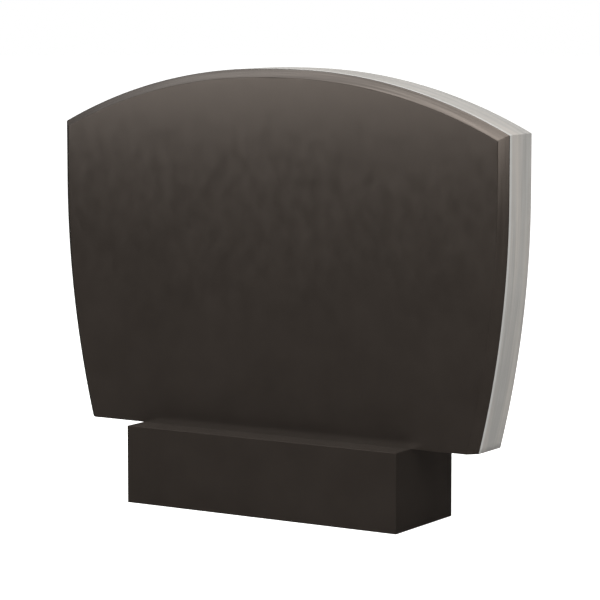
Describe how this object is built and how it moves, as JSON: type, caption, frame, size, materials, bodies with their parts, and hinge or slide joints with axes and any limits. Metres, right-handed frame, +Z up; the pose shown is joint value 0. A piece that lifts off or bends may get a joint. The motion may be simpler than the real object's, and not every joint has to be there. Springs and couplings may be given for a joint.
{
  "type": "headstone",
  "caption": "Blank polished granite headstone: an arched tablet with inswept sides and a chamfered front edge, standing on a plain rectangular base.",
  "frame": {"origin": "on the ground under the middle of the base", "axes": "+Z up; the polished face for the inscription looks along -Y; +X to the right of someone facing it"},
  "size_m": [0.96, 0.206, 0.823],
  "materials": {
    "polished_granite": "polished dark brown-black granite; the tablet's top and side edges are honed to a light grey"
  },
  "bodies": {
    "root": {"tablet": "polished_granite", "base": "polished_granite"}
  },
  "joints": []
}
